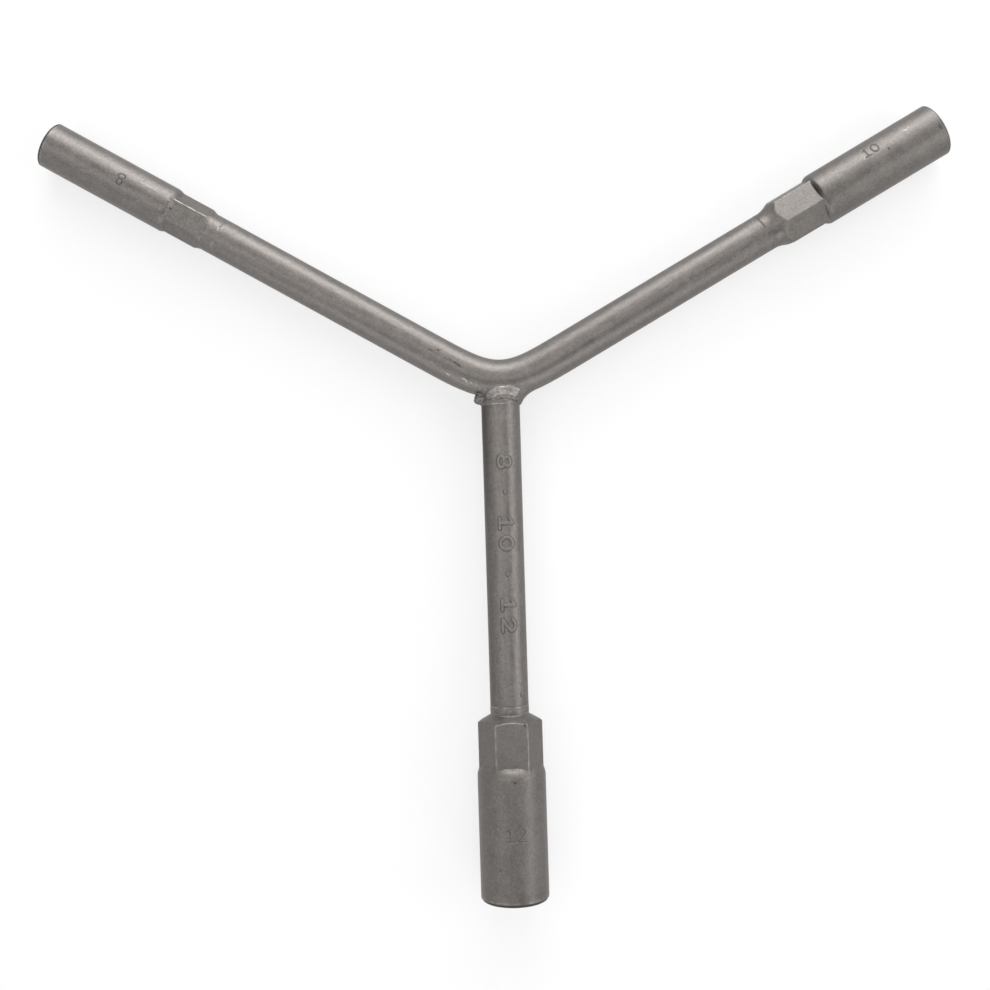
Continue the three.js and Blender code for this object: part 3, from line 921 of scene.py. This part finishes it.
class Nodes:
    """Short calls for building one material's node tree."""

    def __init__(self, name):
        self.material = bpy.data.materials.new(name)
        self.material.use_nodes = True
        self.tree = self.material.node_tree
        self.shader = self.tree.nodes["Principled BSDF"]

    def add(self, kind, settings=None, **inputs):
        node = self.tree.nodes.new(kind)
        for key, value in (settings or {}).items():
            setattr(node, key, value)
        for key, value in inputs.items():
            name = int(key[1:]) if key[1:].isdigit() else key.replace("_", " ")
            self.put(node.inputs[name], value)
        return node.outputs[0]

    def put(self, socket, value):
        if isinstance(value, bpy.types.NodeSocket):
            self.tree.links.new(value, socket)
        else:
            socket.default_value = value

    def read(self, name, vector=False):
        attribute = self.add("ShaderNodeAttribute", {"attribute_name": name})
        return attribute.node.outputs["Vector" if vector else "Fac"]

    def maths(self, operation, a, b):
        return self.add("ShaderNodeMath", {"operation": operation}, i0=a, i1=b)

    def length(self, where):
        return self.add("ShaderNodeVectorMath", {"operation": "LENGTH"}, i0=where).node.outputs["Value"]

    def noise(self, where, scale, detail, roughness=0.55):
        return self.add(
            "ShaderNodeTexNoise", Vector=where, Scale=scale, Detail=detail, Roughness=roughness,
        )

    def stretched(self, where, scale):
        return self.add("ShaderNodeMapping", Vector=where, Scale=scale)

    def moved(self, where, distance):
        return self.add("ShaderNodeVectorMath", {"operation": "ADD"}, i0=where, i1=(distance,) * 3)

    def tint(self, colour, factor):
        return self.add("ShaderNodeVectorMath", {"operation": "SCALE"}, i0=colour, Scale=factor)

    def ramp(self, value, low, high, bottom=0.0, top=1.0):
        return self.add(
            "ShaderNodeMapRange", {"interpolation_type": "SMOOTHSTEP"},
            Value=value, From_Min=low, From_Max=high, To_Min=bottom, To_Max=top,
        )

    def mix(self, share, a, b):
        mixed = self.add("ShaderNodeMix", {"data_type": "RGBA"}, i0=share, i6=a, i7=b)
        return mixed.node.outputs[2]


def shade(colour, factor):
    return tuple(channel * factor for channel in colour) + (1.0,)


def marked(nodes, wrap, marks):
    """How strongly any of the marks covers a point, from 0 to 1."""
    total = 0.0
    for along, around, length, width, tilt, strength in marks:
        place_node = nodes.add(
            "ShaderNodeMapping", {"vector_type": "TEXTURE"},
            Vector=wrap,
            Location=(around, along, 0),
            Rotation=(0, 0, math.radians(tilt)),
            Scale=(width / 2, length / 2, 1),
        )
        cover = nodes.ramp(nodes.length(place_node), 0.45, 1.1, strength, 0.0)
        total = nodes.maths("MAXIMUM", cover, total)
    return total


BUMP_HEIGHT = 0.00003


def steel_patterns(nodes, scuffs, nicks):
    """What the steel's look is made of. Scuffs are dark marks and nicks are bright ones."""
    where = nodes.read("rest", True)
    on = Facts(
        wear=nodes.read("wear"),
        grime=nodes.read("grime"),
        mottle=nodes.noise(where, 0.23, 3.0),
        blotch=nodes.noise(nodes.moved(where, 31), 0.8, 2.0),
        fine=nodes.noise(where, 1.9, 2.0, 0.6),
        drawn=nodes.noise(nodes.stretched(where, (1.5, 0.1, 1.5)), 1.0, 3.0),
        pits=nodes.ramp(nodes.noise(nodes.moved(where, 17), 1.1, 1.0), 0.74, 0.8),
        flecks=nodes.ramp(nodes.noise(nodes.moved(where, 53), 1.3, 1.0), 0.75, 0.8),
    )
    wobble = nodes.noise(where, 1.3, 2.0, 0.5).node.outputs["Color"]
    wrap = nodes.add(
        "ShaderNodeVectorMath", {"operation": "MULTIPLY_ADD"},
        i0=wobble, i1=(0.7, 0.9, 0), i2=nodes.read("wrap", True),
    )
    on.scuffed, on.nicked = marked(nodes, wrap, scuffs), marked(nodes, wrap, nicks)
    return on


def steel_colour(nodes, on, colour, grain, streaks, worn):
    """The base colour under its patterns, with each kind of mark darker or brighter by its factor."""
    base = nodes.mix(nodes.ramp(on.mottle, 0.3, 0.7), shade(colour, 0.94), shade(colour, 1.06))
    for pattern, swing in ((on.blotch, 0.05), (on.fine, 0.13 * grain), (on.drawn, 0.1 * streaks)):
        base = nodes.tint(base, nodes.ramp(pattern, 0.25, 0.75, 1 - swing, 1 + swing))
    # The grime factor darkens real grime and painted shade; the wear factor brightens real wear and
    # painted highlights
    covers = (
        (on.pits, 0.7), (on.flecks, 1.3), (on.scuffed, 0.45), (on.nicked, 2.1), (on.grime, 0.35),
        (on.wear, worn),
    )
    for cover, factor in covers:
        base = nodes.tint(base, nodes.ramp(cover, 0, 1, 1, factor))
    return base


def brush_lines(nodes, wear, strength):
    """Fine lines over the worn places, as a factor of their brightness."""
    lines = nodes.noise(nodes.stretched(nodes.read("wrap", True), (1.7, 0.15, 1)), 1.0, 2.0)
    lines = nodes.maths("MULTIPLY", nodes.ramp(lines, 0.35, 0.65, -strength, strength), wear)
    return nodes.maths("ADD", lines, 1.0)


def steel_bump(nodes, on, grain, streaks):
    height = nodes.maths("MULTIPLY", on.fine, grain)
    shares = (on.blotch, 1.2), (on.drawn, 0.8 * streaks), (on.pits, -0.5), (on.scuffed, -0.6)
    for pattern, share in shares:
        height = nodes.maths("ADD", height, nodes.maths("MULTIPLY", pattern, share))
    return nodes.add("ShaderNodeBump", Strength=1.0, Distance=BUMP_HEIGHT, Height=height)


def steel(
    name, colour, roughness, grain=1.0, streaks=0.5, scuffs=(), nicks=(), worn=1.6, brushed=0.0,
):
    """Satin plate over blasted steel: fine grain, soft mottling, faint drawn streaks, pits and worn
    edges. The plate is darker and rougher under grime and painted shade, and brighter and smoother where
    it is worn and under painted highlights."""
    nodes = Nodes(name)
    on = steel_patterns(nodes, scuffs, nicks)
    base = steel_colour(nodes, on, colour, grain, streaks, worn)
    if brushed:
        base = nodes.tint(base, brush_lines(nodes, on.wear, brushed))
    nodes.put(nodes.shader.inputs["Base Color"], base)
    rough = nodes.ramp(on.mottle, 0.3, 0.7, roughness - 0.03, roughness + 0.04)
    rough = nodes.maths("SUBTRACT", rough, nodes.maths("MULTIPLY", on.wear, 0.08))
    rough = nodes.maths("ADD", rough, nodes.maths("MULTIPLY", on.grime, 0.12))
    nodes.put(nodes.shader.inputs["Roughness"], rough)
    nodes.put(nodes.shader.inputs["Normal"], steel_bump(nodes, on, grain, streaks))
    nodes.shader.inputs["Metallic"].default_value = 1.0
    return nodes.material


STEEL_COLOUR = (0.163, 0.151, 0.142)
SOCKET_COLOUR = (0.151, 0.14, 0.1315)

# Dark scuffs and bright nicks. Each has its place along the arm and round it, its length and its
# width, in millimetres, its tilt from the arm's direction in degrees, and its strength.
ARM_SCUFFS = [
    (-18.9, 0.0, 1.6, 0.6, 0, 0.7),
    (-17.1, -1.0, 1.4, 0.6, 0, 0.7),
    (-13.6, 0.0, 3.4, 0.5, 12, 0.6),
    (-11.2, 0.1, 3.6, 0.6, -8, 0.9),
    (-31.0, -0.7, 7.0, 0.4, 4, 0.35),
    (-25.6, -0.8, 6.0, 0.4, -2, 0.35),
    (71.4, 1.6, 4.0, 0.5, 3, 0.5),
    (61.7, 1.2, 5.0, 0.5, -2, 0.45),
    (49.4, -0.2, 6.0, 0.4, 3, 0.35),
    (20.5, 1.9, 1.4, 0.5, 20, 0.5),
]
ARM_NICKS = [
    (-19.0, 1.9, 1.2, 0.6, 20, 0.35),
    (-17.2, 2.7, 1.2, 0.6, 0, 0.4),
    (-12.4, 3.5, 2.2, 0.4, -12, 0.7),
    (-7.9, 3.0, 2.4, 0.45, -15, 0.9),
    (-6.2, 3.2, 1.2, 0.4, -15, 0.5),
    (-5.0, 3.1, 0.8, 0.4, 10, 0.35),
    (-62.0, -2.6, 2.0, 0.5, 10, 0.4),
]
LEG_SCUFFS = [
    (79.0, -2.9, 2.0, 0.8, 10, 0.6),
    (73.0, 2.2, 0.9, 0.7, 0, 0.5),
    (65.6, -1.5, 3.0, 0.5, -8, 0.3),
]
LEG_NICKS = [
    (4.7, 1.7, 0.5, 0.5, 0, 0.45),
    (5.5, 1.8, 0.45, 0.5, 0, 0.35),
    (6.3, 1.7, 0.45, 0.5, 0, 0.3),
]
SMALL_SCUFFS = [
    (96.9, 0.4, 0.8, 0.8, 0, 1.0),
    (94.6, -3.4, 0.9, 0.8, 0, 0.6),
    (96.2, 4.0, 1.6, 1.0, 30, 0.4),
    (122.0, -1.5, 3.0, 0.9, 20, 0.35),
]
SMALL_NICKS = [
    (132.3, 3.3, 0.7, 1.2, 0, 0.3),
    (83.6, 2.0, 1.0, 1.6, 0, 0.8),
    (104.5, 2.9, 6.0, 0.5, 2, 0.35),
    (98.0, 2.2, 1.2, 0.8, 0, 0.5),
]
MIDDLE_SCUFFS = [
    (116.9, -1.2, 0.9, 0.8, 0, 1.0),
    (131.0, 0.9, 0.8, 2.0, 0, 0.7),
    (100.0, -4.4, 2.0, 0.6, 0, 0.4),
]
MIDDLE_NICKS = [
    (123.2, -3.4, 2.0, 0.35, -28, 0.7),
    (124.4, -3.7, 0.9, 0.4, 45, 0.6),
    (110.5, -2.3, 1.4, 0.5, 30, 0.4),
]
LARGE_SCUFFS = [
    (100.5, -0.4, 1.0, 0.9, 0, 0.9),
    (86.3, -3.9, 0.9, 0.8, 0, 0.9),
    (122.9, 4.1, 1.2, 0.9, 0, 0.5),
    (117.0, 0.6, 1.6, 0.9, 10, 0.35),
]
LARGE_NICKS = [
    (104.0, 2.6, 0.8, 0.6, 0, 0.4),
]

MATERIALS = {
    "arm_bar": steel("arm_bar_steel", STEEL_COLOUR, 0.45, scuffs=ARM_SCUFFS, nicks=ARM_NICKS),
    "leg_bar": steel("leg_bar_steel", STEEL_COLOUR, 0.46, scuffs=LEG_SCUFFS, nicks=LEG_NICKS),
    "socket_8mm": steel(
        "small_socket_steel", STEEL_COLOUR, 0.45, 1.2, 0.2, SMALL_SCUFFS, SMALL_NICKS,
    ),
    "socket_10mm": steel(
        "middle_socket_steel", SOCKET_COLOUR, 0.45, 1.0, 0.2, MIDDLE_SCUFFS, MIDDLE_NICKS,
    ),
    "socket_12mm": steel(
        "large_socket_steel", SOCKET_COLOUR, 0.47, 0.9, 0.2, LARGE_SCUFFS, LARGE_NICKS,
    ),
    "weld": steel("ring_weld_steel", STEEL_COLOUR, 0.46, 1.2, 0.1),
    "centre_weld": steel("centre_weld_steel", STEEL_COLOUR, 0.47, 1.4, 0.1, worn=1.85, brushed=0.25),
}


# The wrench

make_arm_bar()
make_leg_bar()
make_centre_weld()
for number, node_name in enumerate(SOCKETS):
    make_butt_weld(node_name, 40 + 2 * number)
    make_socket(node_name, 50 + number)


# Floor

FLOOR_RADIUS = 1200.0
WALL_CURVE = 700.0
WALL_HEIGHT = 1600.0
FLOOR_WHITENESS = 0.7
WALL_WHITENESS = 0.93
WHITE_FROM = 0.14
WHITE_TO = 0.6
FLOOR_SIDES = 72
PAPER_LOW = (0.84, 0.84, 0.84, 1.0)
PAPER_HIGH = (0.86, 0.86, 0.86, 1.0)


def show_white(nodes, where):
    """Camera, glossy and transmission rays see white paper, with a soft shadow round the wrench."""
    rays = nodes.tree.nodes.new("ShaderNodeLightPath").outputs
    seen = nodes.maths("MAXIMUM", rays["Is Camera Ray"], rays["Is Glossy Ray"])
    seen = nodes.maths("MAXIMUM", seen, rays["Is Transmission Ray"])
    white = nodes.add("ShaderNodeEmission", Color=(1.0, 1.0, 1.0, 1.0), Strength=1.0)
    away = nodes.length(where)
    whiteness = nodes.ramp(away, WHITE_FROM, WHITE_TO, FLOOR_WHITENESS, WALL_WHITENESS)
    shown = nodes.add(
        "ShaderNodeMixShader", i0=nodes.maths("MULTIPLY", seen, whiteness),
        i1=nodes.shader.outputs[0], i2=white,
    )
    nodes.put(nodes.tree.nodes["Material Output"].inputs["Surface"], shown)


def floor_mesh():
    """A round floor that curves up into a wall."""
    profile = [(r, 0.0) for r in (60, 200, 500, 900, FLOOR_RADIUS)]
    for angle in np.radians(np.linspace(10, 90, 9)):
        out = FLOOR_RADIUS + WALL_CURVE * math.sin(angle)
        profile.append((out, WALL_CURVE * (1 - math.cos(angle))))
    profile.append((FLOOR_RADIUS + WALL_CURVE, WALL_HEIGHT))
    turn = np.radians(np.linspace(0, 360, FLOOR_SIDES + 1)[:-1])
    points, faces = [(0.0, 0.0, 0.0)], []
    for radius, height in profile:
        out = radius * MM
        points.extend((out * math.cos(a), out * math.sin(a), height * MM) for a in turn)
    for i in range(FLOOR_SIDES):
        j = (i + 1) % FLOOR_SIDES
        faces.append((0, 1 + i, 1 + j))
        for row in range(len(profile) - 1):
            a, b = 1 + row * FLOOR_SIDES, 1 + (row + 1) * FLOOR_SIDES
            faces.append((a + i, b + i, b + j, a + j))
    mesh = bpy.data.meshes.new("floor")
    mesh.from_pydata(points, [], faces)
    mesh.shade_smooth()
    return mesh


def make_floor():
    mesh = floor_mesh()
    floor = add_object("floor", mesh)
    floor.location.z = -SKIN_DEPTH * MM
    nodes = Nodes("floor_paper")
    where = nodes.tree.nodes.new("ShaderNodeTexCoord").outputs["Object"]
    paper = nodes.mix(nodes.noise(where, 3.0, 2.0), PAPER_LOW, PAPER_HIGH)
    nodes.put(nodes.shader.inputs["Base Color"], paper)
    nodes.shader.inputs["Roughness"].default_value = 0.9
    nodes.shader.inputs["Specular IOR Level"].default_value = 0.1
    show_white(nodes, where)
    mesh.materials.append(nodes.material)


make_floor()


# Light

LAMP_DISTANCE = 0.9

# Each lamp: its way round from the right towards the picture's top and its way up from the floor, both
# in degrees, its width and height in metres, and its power in watts
LAMPS = {
    "top_softbox": (88, 30, 0.9, 0.42, 4.7),
    "top_low_softbox": (72, 13, 1.3, 0.34, 3.4),
    "top_high_softbox": (80, 58, 0.7, 0.36, 1.25),
    "right_softbox": (0, 37, 0.5, 0.48, 2.4),
    "front_right_softbox": (300, 28, 0.5, 0.5, 1.6),
    "front_left_softbox": (240, 26, 0.5, 0.5, 1.45),
    "front_high_softbox": (270, 52, 0.7, 0.4, 0.45),
    "left_softbox": (180, 58, 0.5, 0.4, 1.75),
    "overhead_softbox": (0, 88, 0.45, 0.45, 1.6),
}
SKY_STRENGTH = 0.04


def make_lamp(name, around, above, wide, tall, power):
    around, above = math.radians(around), math.radians(above)
    flat = math.cos(above)
    way = Vector((math.cos(around) * flat, math.sin(around) * flat, math.sin(above)))
    light = bpy.data.lights.new(name, "AREA")
    light.shape = "RECTANGLE"
    light.size, light.size_y = wide, tall
    light.energy = power
    holder = add_object(name, light)
    holder.location = way * LAMP_DISTANCE
    holder.rotation_mode = "QUATERNION"
    holder.rotation_quaternion = (-way).to_track_quat("-Z", "Y")


def make_sky():
    world = bpy.data.worlds.new("studio")
    world.use_nodes = True
    background = world.node_tree.nodes["Background"]
    background.inputs["Color"].default_value = (1.0, 1.0, 1.0, 1.0)
    background.inputs["Strength"].default_value = SKY_STRENGTH
    bpy.context.scene.world = world


for lamp_name, lamp_facts in LAMPS.items():
    make_lamp(lamp_name, *lamp_facts)
make_sky()


# Camera, square to the wrench

LENS = 47.45
CAMERA_HEIGHT = 339.5
CAMERA_SIDE = -1.84
CAMERA_ALONG = -27.01
CAMERA_ROLL = 1.14


def make_camera():
    lens = bpy.data.cameras.new("camera")
    lens.lens = LENS
    lens.sensor_width = 36.0
    lens.clip_start, lens.clip_end = 0.01, 20.0
    camera = add_object("camera", lens)
    roll = Matrix.Rotation(math.radians(-CAMERA_ROLL), 4, "Z")
    offset = Matrix.Translation(Vector((CAMERA_SIDE, CAMERA_ALONG, CAMERA_HEIGHT)) * MM)
    camera.matrix_world = WRENCH @ offset @ roll
    bpy.context.scene.camera = camera


make_camera()
bpy.context.scene.view_settings.view_transform = "Standard"
